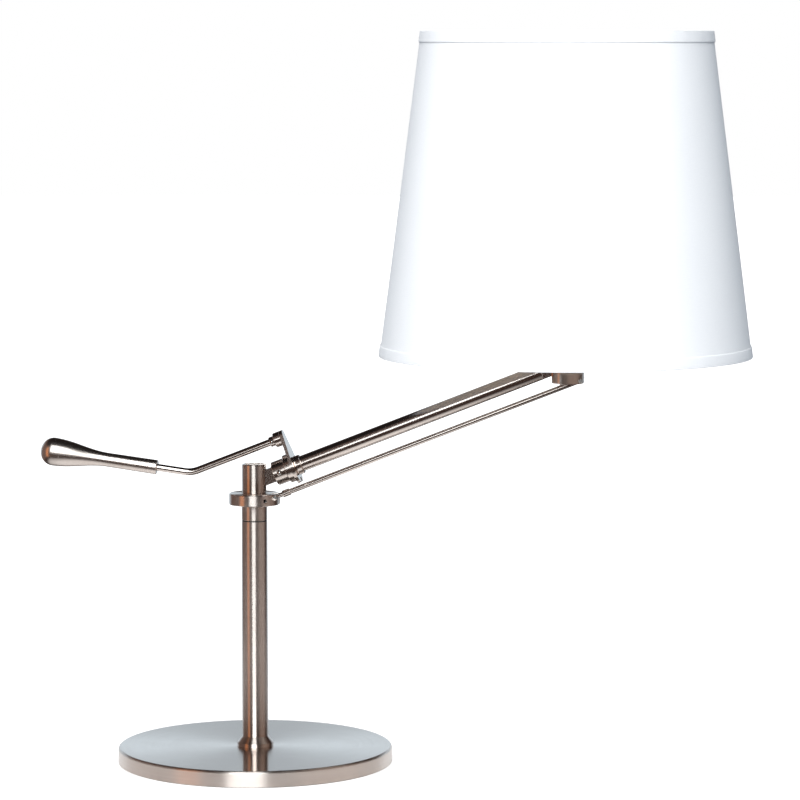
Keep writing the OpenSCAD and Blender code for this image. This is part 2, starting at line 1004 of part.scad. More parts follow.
module head_nipple() {
  color(brass)
    on_head()
      at_z(head_nipple_z)
        tube(thread_r, thread_bore_r, insulator_z - nipple_end_gap - head_nipple_z);
}

module socket_cap() {
  flat_r = head_post_r;
  color(nickel)
    on_head()
      at_z(head_top)
        rotate_extrude()
          polygon([
            [thread_hole_r, 0], [flat_r, 0], [socket_r, cap_h],
            [socket_r, cap_h + cap_lip], [socket_r - shell_t, cap_h + cap_lip],
            [socket_r - shell_t, cap_h + cap_step_h], [flat_r - edge, shell_t],
            [thread_hole_r, shell_t]
          ]);
}

module socket_shell() {
  color(nickel)
    on_head()
      difference() {
        at_z(shell_z)
          tube(socket_r, socket_r - shell_t, socket_h);
        at_z(switch_z)
          across(switch_stem_r + slack, -socket_r - cut, 0);
      }
}

module socket_insulator() {
  color(black)
    on_head()
      difference() {
        at_z(insulator_z)
          cylinder(r = insulator_r, h = shell_top - insulator_sink - insulator_z);
        at_z(insulator_z + insulator_floor)
          cylinder(r = insulator_bore_r, h = socket_h);
        at_z(switch_z)
          across(switch_stem_r + slack, -socket_r, -switch_in + 2 * part_gap);
      }
}

module screw_shell() {
  color(brass)
    on_head()
      at_z(insulator_z + insulator_floor + 2 * part_gap)
        tube(screw_shell_r, screw_shell_r - screw_shell_t, screw_shell_h);
}

module centre_contact() {
  color(brass)
    on_head()
      at_z(insulator_z + insulator_floor)
        cylinder(r1 = contact_r, r2 = contact_tip_r, h = contact_h);
}

module bulb_base() {
  color(brass)
    on_head()
      at_z(bulb_base_z)
        rotate_extrude()
          polygon([
            [0, -bulb_tip_drop], [bulb_tip_r, -bulb_tip_drop],
            [bulb_base_r, bulb_shoulder], [bulb_base_r, glass_z - bulb_base_z],
            [0, glass_z - bulb_base_z]
          ]);
}

module bulb_glass() {
  outer = bulb_outline(0);
  inner = bulb_outline(glass_t);
  color([0.96, 0.96, 0.94])
    on_head()
      rotate_extrude()
        polygon(concat(outer, [for (i = [len(inner) - 1:-1:0]) inner[i]]));
}

module seat_ring() {
  color(nickel)
    on_head()
      at_z(seat_z)
        tube(socket_r + seat_w, socket_r + snug, seat_h);
}

module fitter_ring() {
  color(white_cloth)
    on_head()
      at_z(fitter_z)
        tube(fitter_r, socket_r + 2 * part_gap, fitter_h);
}

module shade_nut() {
  color(nickel)
    on_head()
      at_z(fitter_z + fitter_h)
        tube(socket_r + shade_nut_w, socket_r + snug, shade_nut_h);
}

// Straight wires from the fitter ring down to the bottom ring
module shade_spokes() {
  ring_at = wire_ring_r(bottom_ring_z);
  drop = fitter_z + fitter_h / 2 - bottom_ring_z;
  run = ring_at - spoke_in;
  color(white_cloth)
    on_head()
      for (i = [0:spoke_count - 1])
        rotate([0, 0, spoke_first + i * 360 / spoke_count])
          translate([spoke_in, 0, bottom_ring_z + drop])
            rotate([0, 90 + atan(drop / run), 0])
              cylinder(r = spoke_r, h = norm([run, drop]));
}

module wire_ring(z) {
  on_head()
    at_z(z)
      rotate_extrude()
        translate([wire_ring_r(z), 0])
          circle(r = wire_r);
}

module bottom_ring() {
  color(white_cloth)
    wire_ring(bottom_ring_z);
}

module top_ring() {
  color(white_cloth)
    wire_ring(top_ring_z);
}

module shade_fabric() {
  color(white_cloth)
    on_head()
      shade_band(shade_z, shade_top, -fabric_t, 0);
}

module bottom_trim() {
  color(white_cloth)
    on_head()
      shade_band(shade_z, shade_z + trim_h, 0, trim_t);
}

module top_trim() {
  color(white_cloth)
    on_head()
      shade_band(shade_top - trim_h, shade_top, 0, trim_t);
}

// Parts of the switch
module switch_stem() {
  color(dark_steel)
    on_head()
      at_z(switch_z)
        across(switch_stem_r, -switch_knob_in, -switch_in);
}

module switch_knob() {
  color(black)
    on_head()
      translate([0, -switch_knob_in, switch_z])
        rotate([90, 0, 0])
          difference() {
            chamfered_disc(switch_knob_r, switch_knob_l, edge);
            for (i = [0:flutes - 1])
              rotate([0, 0, i * 360 / flutes])
                translate([switch_knob_r + flute_r / 2, 0, -cut])
                  cylinder(r = flute_r, h = switch_knob_l + 2 * cut);
          }
}

base_cover();
base_weight();
felt_pad();
cord_grommet();
base_washer();
base_nut();
pole_foot();
pole_nipple();
pole_tube();
swivel_spigot();
swivel_washer();
spring_washer();
swivel_nut();
swivel_sleeve();
pivot_ring();
knuckle_post();
ring_screw();
arm_pin();
arm_washers();
near_stay_pin();
near_tang();
fork_boss();
fork_screw();
arm_collar();
link_plate();
arm_ferrule();
arm_tube();
far_tang();
handle_boss();
handle_screw();
handle_rod();
grip();
stay_rod();
stay_ferrule();
head_post();
head_plate();
plate_screw();
head_pin();
head_washers();
far_stay_pin();
head_nipple();
socket_cap();
socket_shell();
socket_insulator();
screw_shell();
centre_contact();
bulb_base();
bulb_glass();
seat_ring();
fitter_ring();
shade_nut();
shade_spokes();
bottom_ring();
top_ring();
shade_fabric();
bottom_trim();
top_trim();
switch_stem();
switch_knob();
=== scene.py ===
# Balance-arm table lamp: looks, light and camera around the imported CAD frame
import json
import math

import bmesh
import bpy
import numpy as np
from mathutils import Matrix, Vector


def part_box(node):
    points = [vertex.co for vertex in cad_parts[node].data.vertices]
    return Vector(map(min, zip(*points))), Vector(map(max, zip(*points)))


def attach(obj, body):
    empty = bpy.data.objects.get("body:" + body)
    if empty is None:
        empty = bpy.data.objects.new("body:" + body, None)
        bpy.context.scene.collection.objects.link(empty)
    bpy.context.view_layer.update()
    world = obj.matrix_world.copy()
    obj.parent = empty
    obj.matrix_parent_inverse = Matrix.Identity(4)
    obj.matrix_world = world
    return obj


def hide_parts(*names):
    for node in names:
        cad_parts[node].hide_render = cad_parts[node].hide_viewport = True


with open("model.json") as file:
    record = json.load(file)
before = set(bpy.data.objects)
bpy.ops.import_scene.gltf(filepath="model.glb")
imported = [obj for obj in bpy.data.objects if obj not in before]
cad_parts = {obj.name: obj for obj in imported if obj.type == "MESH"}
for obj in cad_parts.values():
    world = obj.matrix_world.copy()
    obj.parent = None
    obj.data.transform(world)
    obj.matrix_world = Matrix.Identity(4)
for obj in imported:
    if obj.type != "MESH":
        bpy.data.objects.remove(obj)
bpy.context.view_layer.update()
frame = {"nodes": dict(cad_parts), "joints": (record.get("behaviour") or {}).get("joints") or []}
print("frame loaded:", len(frame["nodes"]), "nodes")


# Places, all read from the frame
def boxOf(node):
    lowest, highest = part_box(node)
    return np.array(lowest), np.array(highest)


def midOf(node):
    lowest, highest = boxOf(node)
    return (lowest + highest) / 2


def halfAcross(node):
    lowest, highest = boxOf(node)
    return (highest[1] - lowest[1]) / 2


def jointAt(name):
    return np.array(next(j for j in frame["joints"] if j["name"] == name)["pos_m"])


nearPivot = jointAt("arm_tilt")
farPivot = jointAt("head_level")
stayPivot = jointAt("stay_tilt")
headMid = midOf("head_post")
armRise = math.atan2(farPivot[2] - nearPivot[2], farPivot[0] - nearPivot[0])
gripBend = math.radians(29.4)               # between the arm and the handle's end
handleRise = math.pi + armRise - gripBend   # direction of the grip, from +X
handleAxis = np.array([math.cos(handleRise), 0, math.sin(handleRise)])

# Camera: a long lens from far off, turned a little round the lamp and tipped slightly down
camera = {
    "turn": math.radians(7.0),     # round the lamp from the front
    "tip": math.radians(5.67),     # looking down
    "distance": 3.3813,
    "aside": 0.1345,               # to the right of the pole
    "height": 0.6729,
    "lens": 165.9,
    "sensor": 36.0,
    "clip": (0.1, 60),
}


def makeCamera(c):
    data = bpy.data.cameras.new("studioCamera")
    data.lens, data.sensor_width = c["lens"], c["sensor"]
    data.clip_start, data.clip_end = c["clip"]
    eye = bpy.data.objects.new("studioCamera", data)
    forward = np.array([-math.sin(c["turn"]), math.cos(c["turn"]), 0])
    right = np.array([math.cos(c["turn"]), math.sin(c["turn"]), 0])
    place = right * c["aside"] - forward * c["distance"] + np.array([0, 0, c["height"]])
    eye.location = place.tolist()
    eye.rotation_euler = (math.pi / 2 - c["tip"], 0, c["turn"])
    bpy.context.scene.collection.objects.link(eye)
    bpy.context.scene.camera = eye


makeCamera(camera)
print("camera placed")


# Shader maths
class Field:
    # one socket of a node tree; arithmetic on it adds Math nodes
    def __init__(self, finish, socket):
        self.finish, self.socket = finish, socket

    def maths(self, operation, *others, clamp=False):
        settings = {"operation": operation, "use_clamp": clamp}
        return self.finish.add("ShaderNodeMath", settings, dict(enumerate((self, *others))))

    def __add__(self, other):
        return self.maths("ADD", other)

    def __sub__(self, other):
        return self.maths("SUBTRACT", other)

    def __rsub__(self, other):
        return self.maths("MULTIPLY", -1) + other

    def __mul__(self, other):
        return self.maths("MULTIPLY", other)

    def __truediv__(self, other):
        return self.maths("DIVIDE", other)

    def __pow__(self, other):
        return self.maths("POWER", other)

    def __abs__(self):
        return self.maths("ABSOLUTE")

    __radd__ = __add__
    __rmul__ = __mul__

    def sine(self):
        return self.maths("SINE")

    def clamped(self):
        return self.maths("ADD", 0, clamp=True)

    def ramp(self, low, high):
        # 0 below low, 1 above high, with a soft S between
        settings = {"interpolation_type": "SMOOTHSTEP"}
        return self.finish.add("ShaderNodeMapRange", settings, {0: self, 1: low, 2: high})


class Finish:
    # a node tree under construction: a material's, or the world's
    def __init__(self, owner):
        owner.use_nodes = True
        self.owner, self.tree = owner, owner.node_tree
        self.tree.nodes.clear()

    def add(self, kind, settings=None, inputs=None, output=0):
        node = self.tree.nodes.new(kind)
        for key, value in (settings or {}).items():
            setattr(node, key, value)
        for key, value in (inputs or {}).items():
            if isinstance(value, Field):
                self.tree.links.new(value.socket, node.inputs[key])
            elif node.inputs[key].type == "RGBA":
                node.inputs[key].default_value = (*value, 1)
            else:
                node.inputs[key].default_value = value
        return Field(self, node.outputs[output] if node.outputs else None)

    def mix(self, factor, first, second):
        settings = {"data_type": "RGBA", "blend_type": "MIX"}
        return self.add("ShaderNodeMix", settings, {0: factor, 6: first, 7: second}, 2)

    def join(self, x, y, z):
        return self.add("ShaderNodeCombineXYZ", None, {0: x, 1: y, 2: z})

    def split(self, vector):
        parts = self.add("ShaderNodeSeparateXYZ", None, {0: vector})
        return [Field(self, socket) for socket in parts.socket.node.outputs]

    def place(self, centre=(0, 0, 0), turn=(0, 0, 0)):
        # object coordinates measured from centre, in axes turned by turn
        objectPlace = self.add("ShaderNodeTexCoord", None, None, "Object")
        return self.add("ShaderNodeMapping", {"vector_type": "TEXTURE"},
                        {0: objectPlace, 1: tuple(centre), 2: tuple(turn)})

    def noise(self, vector, scale=1.0, detail=2.0, rough=0.5, w=None):
        settings = {"noise_dimensions": "3D" if w is None else "4D"}
        inputs = {"Vector": vector, "Scale": scale, "Detail": detail, "Roughness": rough}
        if w is not None:
            inputs["W"] = w
        return self.add("ShaderNodeTexNoise", settings, inputs)

    def bump(self, height, depth, strength=1.0):
        inputs = {"Height": height, "Distance": depth, "Strength": strength}
        return self.add("ShaderNodeBump", None, inputs)

    def surface(self, **values):
        names = {
            "colour": "Base Color", "roughness": "Roughness", "metallic": "Metallic",
            "normal": "Normal", "anisotropy": "Anisotropic", "turn": "Anisotropic Rotation",
            "sheen": "Sheen Weight", "sheenRoughness": "Sheen Roughness",
            "coat": "Coat Weight", "coatRoughness": "Coat Roughness",
            "specular": "Specular IOR Level",
        }
        inputs = {names[key]: value for key, value in values.items()}
        shader = self.add("ShaderNodeBsdfPrincipled", None, inputs)
        self.add("ShaderNodeOutputMaterial", None, {"Surface": shader})
        return self.owner


def newFinish(name):
    return Finish(bpy.data.materials.new(name))


# Metals
nickel = {
    "bright": (0.71, 0.635, 0.590),
    "dull": (0.63, 0.550, 0.505),
    "roughness": 0.33,
    "streak": 0.00035,        # width of a brush mark
    "broad": 0.0022,          # width of the broad bands between them
    "streakTurns": 3,         # how often a mark changes on its way round
    "broadTurns": 2,
    "cloud": 22,              # scale of handling marks and slight tarnish
    "depth": 0.000003,
    "anisotropy": 1.0,
    "turn": 0.25,             # a quarter turn, so that the blur lies across the marks
    "unevenness": 0.045,      # how far the roughness strays
    "faceFinish": 0.55,       # how much finer a faced-off top is
    "faceStep": 0.0003,       # height over which that finish sets in
    "offAxis": 1e-9,          # keeps the radius off zero
}
plainNickel = dict(nickel, roughness=0.17, depth=0.0000004, anisotropy=0.0, unevenness=0.02)
steel = dict(plainNickel, bright=(0.56, 0.55, 0.54), dull=(0.42, 0.41, 0.40), roughness=0.30,
             depth=0.000004)
blackSteel = dict(steel, bright=(0.10, 0.10, 0.105), dull=(0.045, 0.045, 0.05), roughness=0.24)
brass = dict(plainNickel, bright=(0.80, 0.62, 0.30), dull=(0.62, 0.45, 0.20), roughness=0.32,
             depth=0.000004)
castIron = {"dark": (0.035, 0.035, 0.038), "light": (0.09, 0.088, 0.085), "grain": 0.0012,
            "metallic": 0.6, "roughness": 0.62, "specular": 0.4, "depth": 0.0004}


def turnedMetal(name, look, centre=(0, 0, 0), rise=math.pi / 2, faceAbove=None):
    # Marks run round an axis through centre, rise above +X in the arm's plane.
    # Height = 0.7 * noise(radius / streak, along / streak, direction * streakTurns), thin
    # across and long around, on barrel and faces alike, + 0.6 * a broader noise of the same
    # form. Colour and roughness follow the broad noise and a cloud. Above the height
    # faceAbove, where one is given, the finish is finer.
    f = newFinish(name)
    local = f.place(centre, (0, math.pi / 2 - rise, 0))
    x, y, z = f.split(local)
    radius = (x * x + y * y + look["offAxis"]) ** 0.5
    east, north = x / radius, y / radius

    def marks(width, turns, detail, rough=0.5):
        place = f.join(radius / width, z / width, east * turns)
        return f.noise(place, w=north * turns, detail=detail, rough=rough)

    fine = marks(look["streak"], look["streakTurns"], 3, 0.65)
    broad = marks(look["broad"], look["broadTurns"], 2)
    cloud = f.noise(local, scale=look["cloud"], detail=3)
    tone = (broad * 0.35 + cloud * 0.65).ramp(0.3, 0.7)
    vary = (broad - 0.5) * 0.7 + (cloud - 0.5)
    roughness = look["roughness"] + vary * look["unevenness"]
    if faceAbove is not None:
        face = z.ramp(faceAbove - look["faceStep"], faceAbove)
        roughness = roughness * (1 - face * look["faceFinish"])
    return f.surface(colour=f.mix(tone, look["dull"], look["bright"]), metallic=1.0,
                     roughness=roughness.clamped(),
                     normal=f.bump(fine * 0.7 + broad * 0.6, look["depth"]),
                     anisotropy=look["anisotropy"], turn=look["turn"])


def castMetal(name, look):
    # sand-cast skin: height = coarse noise + 0.4 * a noise six times finer
    f = newFinish(name)
    local = f.place()
    coarse = f.noise(local, scale=1 / look["grain"], detail=4)
    fine = f.noise(local, scale=6 / look["grain"])
    return f.surface(colour=f.mix(coarse, look["dark"], look["light"]),
                     metallic=look["metallic"], specular=look["specular"],
                     roughness=(look["roughness"] + fine * 0.2).clamped(),
                     normal=f.bump(coarse + fine * 0.4, look["depth"]))


# Plastics, paint, glass, felt
nylon = {"dark": (0.012, 0.012, 0.013), "light": (0.025, 0.025, 0.026), "roughness": 0.38,
         "grain": 0.0006, "relief": 0.06, "cloud": 40, "specular": 0.5}
bakelite = dict(nylon, dark=(0.014, 0.011, 0.010), light=(0.032, 0.026, 0.023),
                roughness=0.26, grain=0.0004)
enamel = {"dull": (0.80, 0.81, 0.82), "bright": (0.90, 0.90, 0.89), "peel": 900, "run": 60,
          "roughness": 0.28, "depth": 0.00005, "coat": 0.3, "coatRoughness": 0.2}
felt = {"dark": (0.012, 0.012, 0.014), "light": (0.075, 0.074, 0.078),
        "strand": (2600, 260, 900), "lie": (0.3, 1.4, 2.5), "mats": 90, "roughness": 0.9,
        "sheen": 0.35, "sheenRoughness": 0.6, "specular": 0.2, "depth": 0.0005, "relief": 0.9}
glass = {"dull": (0.86, 0.86, 0.85), "bright": (0.93, 0.93, 0.92), "stipple": 2400, "cloud": 18,
         "roughness": 0.25, "coat": 0.6, "coatRoughness": 0.05, "specular": 0.5,
         "depth": 0.00001}


def mouldedPlastic(name, look):
    # spark-eroded skin: height = one fine noise; the colour follows faint flow clouds
    f = newFinish(name)
    local = f.place()
    skin = f.noise(local, scale=1 / look["grain"], detail=2)
    cloud = f.noise(local, scale=look["cloud"], detail=3)
    return f.surface(colour=f.mix(cloud, look["dark"], look["light"]),
                     roughness=(look["roughness"] + skin * 0.12).clamped(),
                     normal=f.bump(skin, look["grain"] * look["relief"]),
                     specular=look["specular"])


def dippedEnamel(name, look):
    # white paint on wire: height = slow waves where it ran + 0.5 * a fine orange peel
    f = newFinish(name)
    local = f.place()
    peel = f.noise(local, scale=look["peel"], detail=2)
    run = f.noise(local, scale=look["run"], detail=2)
    return f.surface(colour=f.mix(run.ramp(0.35, 0.75), look["dull"], look["bright"]),
                     roughness=(look["roughness"] + peel * 0.15).clamped(),
                     normal=f.bump(peel * 0.5 + run, look["depth"]),
                     coat=look["coat"], coatRoughness=look["coatRoughness"])


def pressedFelt(name, look):
    # matted wool: height = the mean of three noises, each drawn out along the way its
    # strands lie, + 0.8 * a coarse noise
    f = newFinish(name)
    local = f.place()

    def strandsAlong(turn):
        drawn = f.add("ShaderNodeMapping", None, {0: local, 2: (0, 0, turn), 3: look["strand"]})
        return f.noise(drawn, detail=3)

    strands = sum(map(strandsAlong, look["lie"]), 0.0) / len(look["lie"])
    mats = f.noise(local, scale=look["mats"], detail=4)
    tone = (strands * 0.7 + mats * 0.5).ramp(0.4, 0.8)
    return f.surface(colour=f.mix(tone, look["dark"], look["light"]),
                     roughness=(look["roughness"] + mats * 0.1).clamped(),
                     normal=f.bump(strands + mats * 0.8, look["depth"], look["relief"]),
                     sheen=look["sheen"], sheenRoughness=look["sheenRoughness"],
                     specular=look["specular"])


def frostedGlass(name, look):
    # milky bulb under a clear coat: height = one very fine noise
    f = newFinish(name)
    local = f.place()
    stipple = f.noise(local, scale=look["stipple"], detail=2)
    cloud = f.noise(local, scale=look["cloud"], detail=2)
    return f.surface(colour=f.mix(cloud, look["dull"], look["bright"]),
                     roughness=(look["roughness"] + stipple * 0.12).clamped(),
                     normal=f.bump(stipple, look["depth"]), coat=look["coat"],
                     coatRoughness=look["coatRoughness"], specular=look["specular"])


def axisOf(node, axis):
    # a turned node's centre line: its two end stations and the middle across
    co = np.array([v.co for v in frame["nodes"][node].data.vertices])
    across = np.array([-axis[2], 0, axis[0]])
    along, side = co @ axis, co @ across
    base = across * (side.min() + side.max()) / 2
    return base + axis * along.min(), base + axis * along.max()


gripFrom, gripTo = axisOf("grip", handleAxis)

# look, a point on the axis, the axis's rise, and where a finer face begins
turnedFinishes = {
    "standNickel": (nickel,),
    "baseNickel": (nickel, (0, 0, 0), math.pi / 2, float(boxOf("base_cover")[1][2])),
    "headNickel": (nickel, tuple(headMid)),
    "armNickel": (plainNickel, tuple(nearPivot), armRise),
    "rodNickel": (dict(plainNickel, roughness=0.11), tuple(midOf("handle_boss")), armRise),
    "stayNickel": (dict(plainNickel, roughness=0.12), tuple(stayPivot), armRise),
    "gripNickel": (dict(plainNickel, roughness=0.27), tuple(gripFrom), handleRise),
    "polishedScrew": (dict(steel, roughness=0.14),),
    "setScrew": (blackSteel,),
    "boltSteel": (steel,),
    "headSteel": (steel, tuple(headMid)),
    "spunBrass": (brass, tuple(headMid)),
}
otherFinishes = {
    "castIron": (castMetal, castIron),
    "nylonBlack": (mouldedPlastic, nylon),
    "bakelite": (mouldedPlastic, bakelite),
    "enamelWhite": (dippedEnamel, enamel),
    "feltGrey": (pressedFelt, felt),
    "frostedGlass": (frostedGlass, glass),
}
finishes = {name: turnedMetal(name, *settings) for name, settings in turnedFinishes.items()}
finishes.update({name: make(name, look) for name, (make, look) in otherFinishes.items()})

wornBy = {
    "baseNickel": ["base_cover"],
    "standNickel": ["pole_foot", "pole_tube", "swivel_sleeve", "pivot_ring", "knuckle_post"],
    "headNickel": ["head_post", "head_plate", "socket_cap", "socket_shell", "seat_ring",
                   "shade_nut"],
    "armNickel": ["near_tang", "fork_boss", "arm_collar", "link_plate", "arm_ferrule", "arm_tube",
                  "far_tang", "handle_boss"],
    "rodNickel": ["handle_rod"],
    "stayNickel": ["stay_rod", "stay_ferrule"],
    "gripNickel": ["grip"],
    "boltSteel": ["swivel_spigot", "spring_washer", "swivel_nut", "base_washer", "base_nut",
                  "arm_pin", "near_stay_pin"],
    "polishedScrew": ["fork_screw", "handle_screw"],
    "setScrew": ["ring_screw", "plate_screw"],
    "headSteel": ["head_pin", "far_stay_pin", "switch_stem"],
    "spunBrass": ["pole_nipple", "head_nipple", "screw_shell", "centre_contact", "bulb_base"],
    "castIron": ["base_weight"],
    "nylonBlack": ["swivel_washer", "arm_washers", "head_washers", "cord_grommet"],
    "bakelite": ["socket_insulator", "switch_knob"],
    "enamelWhite": ["fitter_ring", "shade_spokes", "bottom_ring", "top_ring", "shade_fabric",
                    "bottom_trim", "top_trim"],
    "feltGrey": ["felt_pad"],
    "frostedGlass": ["bulb_glass"],
}
for finishName, nodeNames in wornBy.items():
    for nodeName in nodeNames:
        data = frame["nodes"][nodeName].data
        data.materials.clear()
        data.materials.append(finishes[finishName])
print("finishes on the frame:", sum(map(len, wornBy.values())), "nodes")


# Surfaces on a grid
weldWithin, sliverBelow = 1e-7, 1e-8


def gridPiece(name, points, materials, wrap=False, uv=None, sharp=40):
    # points[i, j] is the surface at two parameters; wrap closes the second one
    rows, columns = points.shape[:2]
    index = np.arange(rows * columns).reshape(rows, columns)
    if wrap:
        index = np.concatenate([index, index[:, :1]], axis=1)
    a, b, c, d = index[:-1, :-1], index[:-1, 1:], index[1:, 1:], index[1:, :-1]
    faces = np.stack([a, b, c, d], axis=-1).reshape(-1, 4)
    mesh = bpy.data.meshes.new(name)
    mesh.from_pydata(points.reshape(-1, 3).tolist(), [], faces.tolist())
    if uv is not None:
        layer = mesh.uv_layers.new(name="clothPlace")
        corners = np.zeros(len(mesh.loops), np.int32)
        mesh.loops.foreach_get("vertex_index", corners)
        layer.data.foreach_set("uv", uv.reshape(-1, 2)[corners].astype(np.float32).ravel())
    for material in materials:
        mesh.materials.append(material)
    work = bmesh.new()
    work.from_mesh(mesh)
    bmesh.ops.remove_doubles(work, verts=work.verts, dist=weldWithin)
    bmesh.ops.dissolve_degenerate(work, edges=work.edges, dist=sliverBelow)
    if uv is None:
        bmesh.ops.recalc_face_normals(work, faces=work.faces)
    work.to_mesh(mesh)
    work.free()
    mesh.polygons.foreach_set("use_smooth", np.ones(len(mesh.polygons), bool))
    mesh.set_sharp_from_angle(angle=math.radians(sharp))
    piece = bpy.data.objects.new(name, mesh)
    bpy.context.scene.collection.objects.link(piece)
    return piece


def turned(name, profile, start, axis, material, steps=128):
    # profile[k] = (distance along axis, radius), swept once round the axis from start
    axis = axis / np.linalg.norm(axis)
    side = np.array([0.0, 1.0, 0.0])
    up = np.cross(axis, side)
    angle = np.linspace(0, 2 * math.pi, steps, endpoint=False)
    spokes = np.cos(angle)[:, None] * side + np.sin(angle)[:, None] * up
    profile = np.array(profile)
    points = (np.array(start) + profile[:, :1, None] * axis
              + profile[:, 1:, None] * spokes[None])
    return gridPiece(name, points, [material], wrap=True)


def aboutHead(radius, angle, height):
    # circles round the head's upright axis, whole arrays at once
    return np.stack([headMid[0] + radius * np.cos(angle), headMid[1] + radius * np.sin(angle),
                     np.broadcast_to(height, radius.shape)], axis=2)


# Grip
grip = {"capLength": 0.012, "fallTo": 0.064, "flare": 0.0002, "waist": 0.0065,
        "endBevel": 0.0005, "hole": 0.00335, "holeDepth": 0.004, "holeBevel": 0.0002,
        "waistSteps": 24, "swellSteps": 72, "capSteps": 28}


def gripProfile(g, length, bulb):
    # from the rod end: hole wall, flat end with a bevel, waist, a raised-cosine swell
    # to the bulb, and an elliptic round end
    t = np.concatenate([np.linspace(length - g["endBevel"], g["fallTo"], g["waistSteps"]),
                        np.linspace(g["fallTo"], g["capLength"], g["swellSteps"])[1:]])
    fallen = np.clip((t - g["capLength"]) / (g["fallTo"] - g["capLength"]), 0, 1)
    swell = (1 + np.cos(math.pi * fallen)) / 2
    flare = g["flare"] * np.clip((t - g["fallTo"]) / (length - g["fallTo"]), 0, 1)
    body = np.stack([length - t, g["waist"] + (bulb - g["waist"]) * swell + flare], axis=1)
    turnBy = np.linspace(0, math.pi / 2, g["capSteps"])[1:]
    capAlong = length - g["capLength"] + g["capLength"] * np.sin(turnBy)
    cap = np.stack([capAlong, bulb * np.cos(turnBy)], axis=1)
    cap[-1, 1] = 0
    end = np.array([[g["holeDepth"], 0], [g["holeDepth"], g["hole"]],
                    [g["holeBevel"], g["hole"]], [0, g["hole"] + g["holeBevel"]],
                    [0, g["waist"] + g["flare"] - g["endBevel"]]])
    return np.concatenate([end, body, cap])


gripLength = float(np.linalg.norm(gripTo - gripFrom))
gripPiece = turned("grip_body", gripProfile(grip, gripLength, halfAcross("grip")),
                   gripFrom, handleAxis, finishes["gripNickel"])
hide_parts("grip")
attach(gripPiece, "arm")
print("grip made")

# Bulb
bulb = {"neckSteps": 40, "globeSteps": 60, "meet": math.radians(-40), "neck": 0.0128}


def bulbProfile(b, top, radius):
    # neck: cubic from an upright start to the globe's own slope; then the globe's arc
    centre = top - radius
    endRadius, endHeight = radius * math.cos(b["meet"]), centre + radius * math.sin(b["meet"])
    slope = -math.tan(b["meet"]) * endHeight
    w = np.linspace(0, 1, b["neckSteps"])
    neck = (b["neck"] * (2 * w**3 - 3 * w**2 + 1) + endRadius * (3 * w**2 - 2 * w**3)
            + slope * (w**3 - w**2))
    a = np.linspace(b["meet"], math.pi / 2, b["globeSteps"])[1:]
    arc = np.stack([centre + radius * np.sin(a), radius * np.cos(a)], axis=1)
    arc[-1, 1] = 0
    return np.concatenate([[[0.0, 0.0]], np.stack([w * endHeight, neck], axis=1), arc])


lowest, highest = boxOf("bulb_glass")
bulbPiece = turned("bulb_envelope",
                   bulbProfile(bulb, highest[2] - lowest[2], halfAcross("bulb_glass")),
                   (headMid[0], headMid[1], lowest[2]), np.array([0.0, 0.0, 1.0]),
                   finishes["frostedGlass"])
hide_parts("bulb_glass")
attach(bulbPiece, "head")
print("bulb made")

# Shade nut with finger flutes
ringNut = {"flutes": 36, "fluteDepth": 0.0007, "bevel": 0.0006, "clearance": 0.00005,
           "steps": 432}


def flutedRing(r, inner, outer, low, high):
    # radius = outer - depth * (1 - |sin(flutes * angle / 2)|), bevelled top and bottom
    angle = np.linspace(0, 2 * math.pi, r["steps"], endpoint=False)
    dent = r["fluteDepth"] * (1 - np.abs(np.sin(angle * r["flutes"] / 2)))
    bevel = r["bevel"]
    # radius, height, and 1 where the flutes are cut
    section = np.array([
        (inner, low, 0), (outer - bevel, low, 1), (outer, low + bevel, 1),
        (outer, high - bevel, 1), (outer - bevel, high, 1), (inner, high, 0), (inner, low, 0)])
    return aboutHead(section[:, :1] - section[:, 2:] * dent, angle, section[:, 1:2])


lowest, highest = boxOf("shade_nut")
nutSurface = flutedRing(ringNut, halfAcross("socket_shell") + ringNut["clearance"],
                        halfAcross("shade_nut"), lowest[2], highest[2])
nutPiece = gridPiece("shade_nut_fluted", nutSurface, [finishes["headNickel"]], wrap=True,
                     sharp=30)
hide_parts("shade_nut")
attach(nutPiece, "head")
print("shade nut made")

# Shade: cloth on a stiff white backing, rolled to a cone with a lapped seam behind
shade = {
    "thickness": 0.0011,
    "seamAt": math.radians(90),     # behind the lamp
    "lap": 0.009,                   # width of the lap
    "ease": 0.018,                  # length over which the ends lift and sink
    "wave": 0.00022,                # slight unevenness of the rolled sheet
    "slowWaves": 5,                 # waves round the shade
    "quickWaves": 11,
    "columns": 384,
    "rows": 48,
}
weave = {
    "thread": 0.00042,              # from one thread to the next
    "wander": 0.8,                  # in threads
    "wanderScale": 60,
    "slub": (90, 2600),             # scale along and across the weft
    "slubUp": (2600, 70),           # and the same for the warp
    "cloud": 9,
    "dull": (0.790, 0.796, 0.822),
    "bright": (0.885, 0.888, 0.900),
    "roughness": 0.70,
    "specular": 0.25,
    "sheen": 0.12,
    "sheenRoughness": 0.4,
    "depth": 0.00009,
    "relief": 0.7,
}
lining = {"print": 1500, "wave": (25, 12), "dull": (0.84, 0.78, 0.71),
          "bright": (0.91, 0.86, 0.80), "roughness": 0.42, "specular": 0.4, "depth": 0.0001}


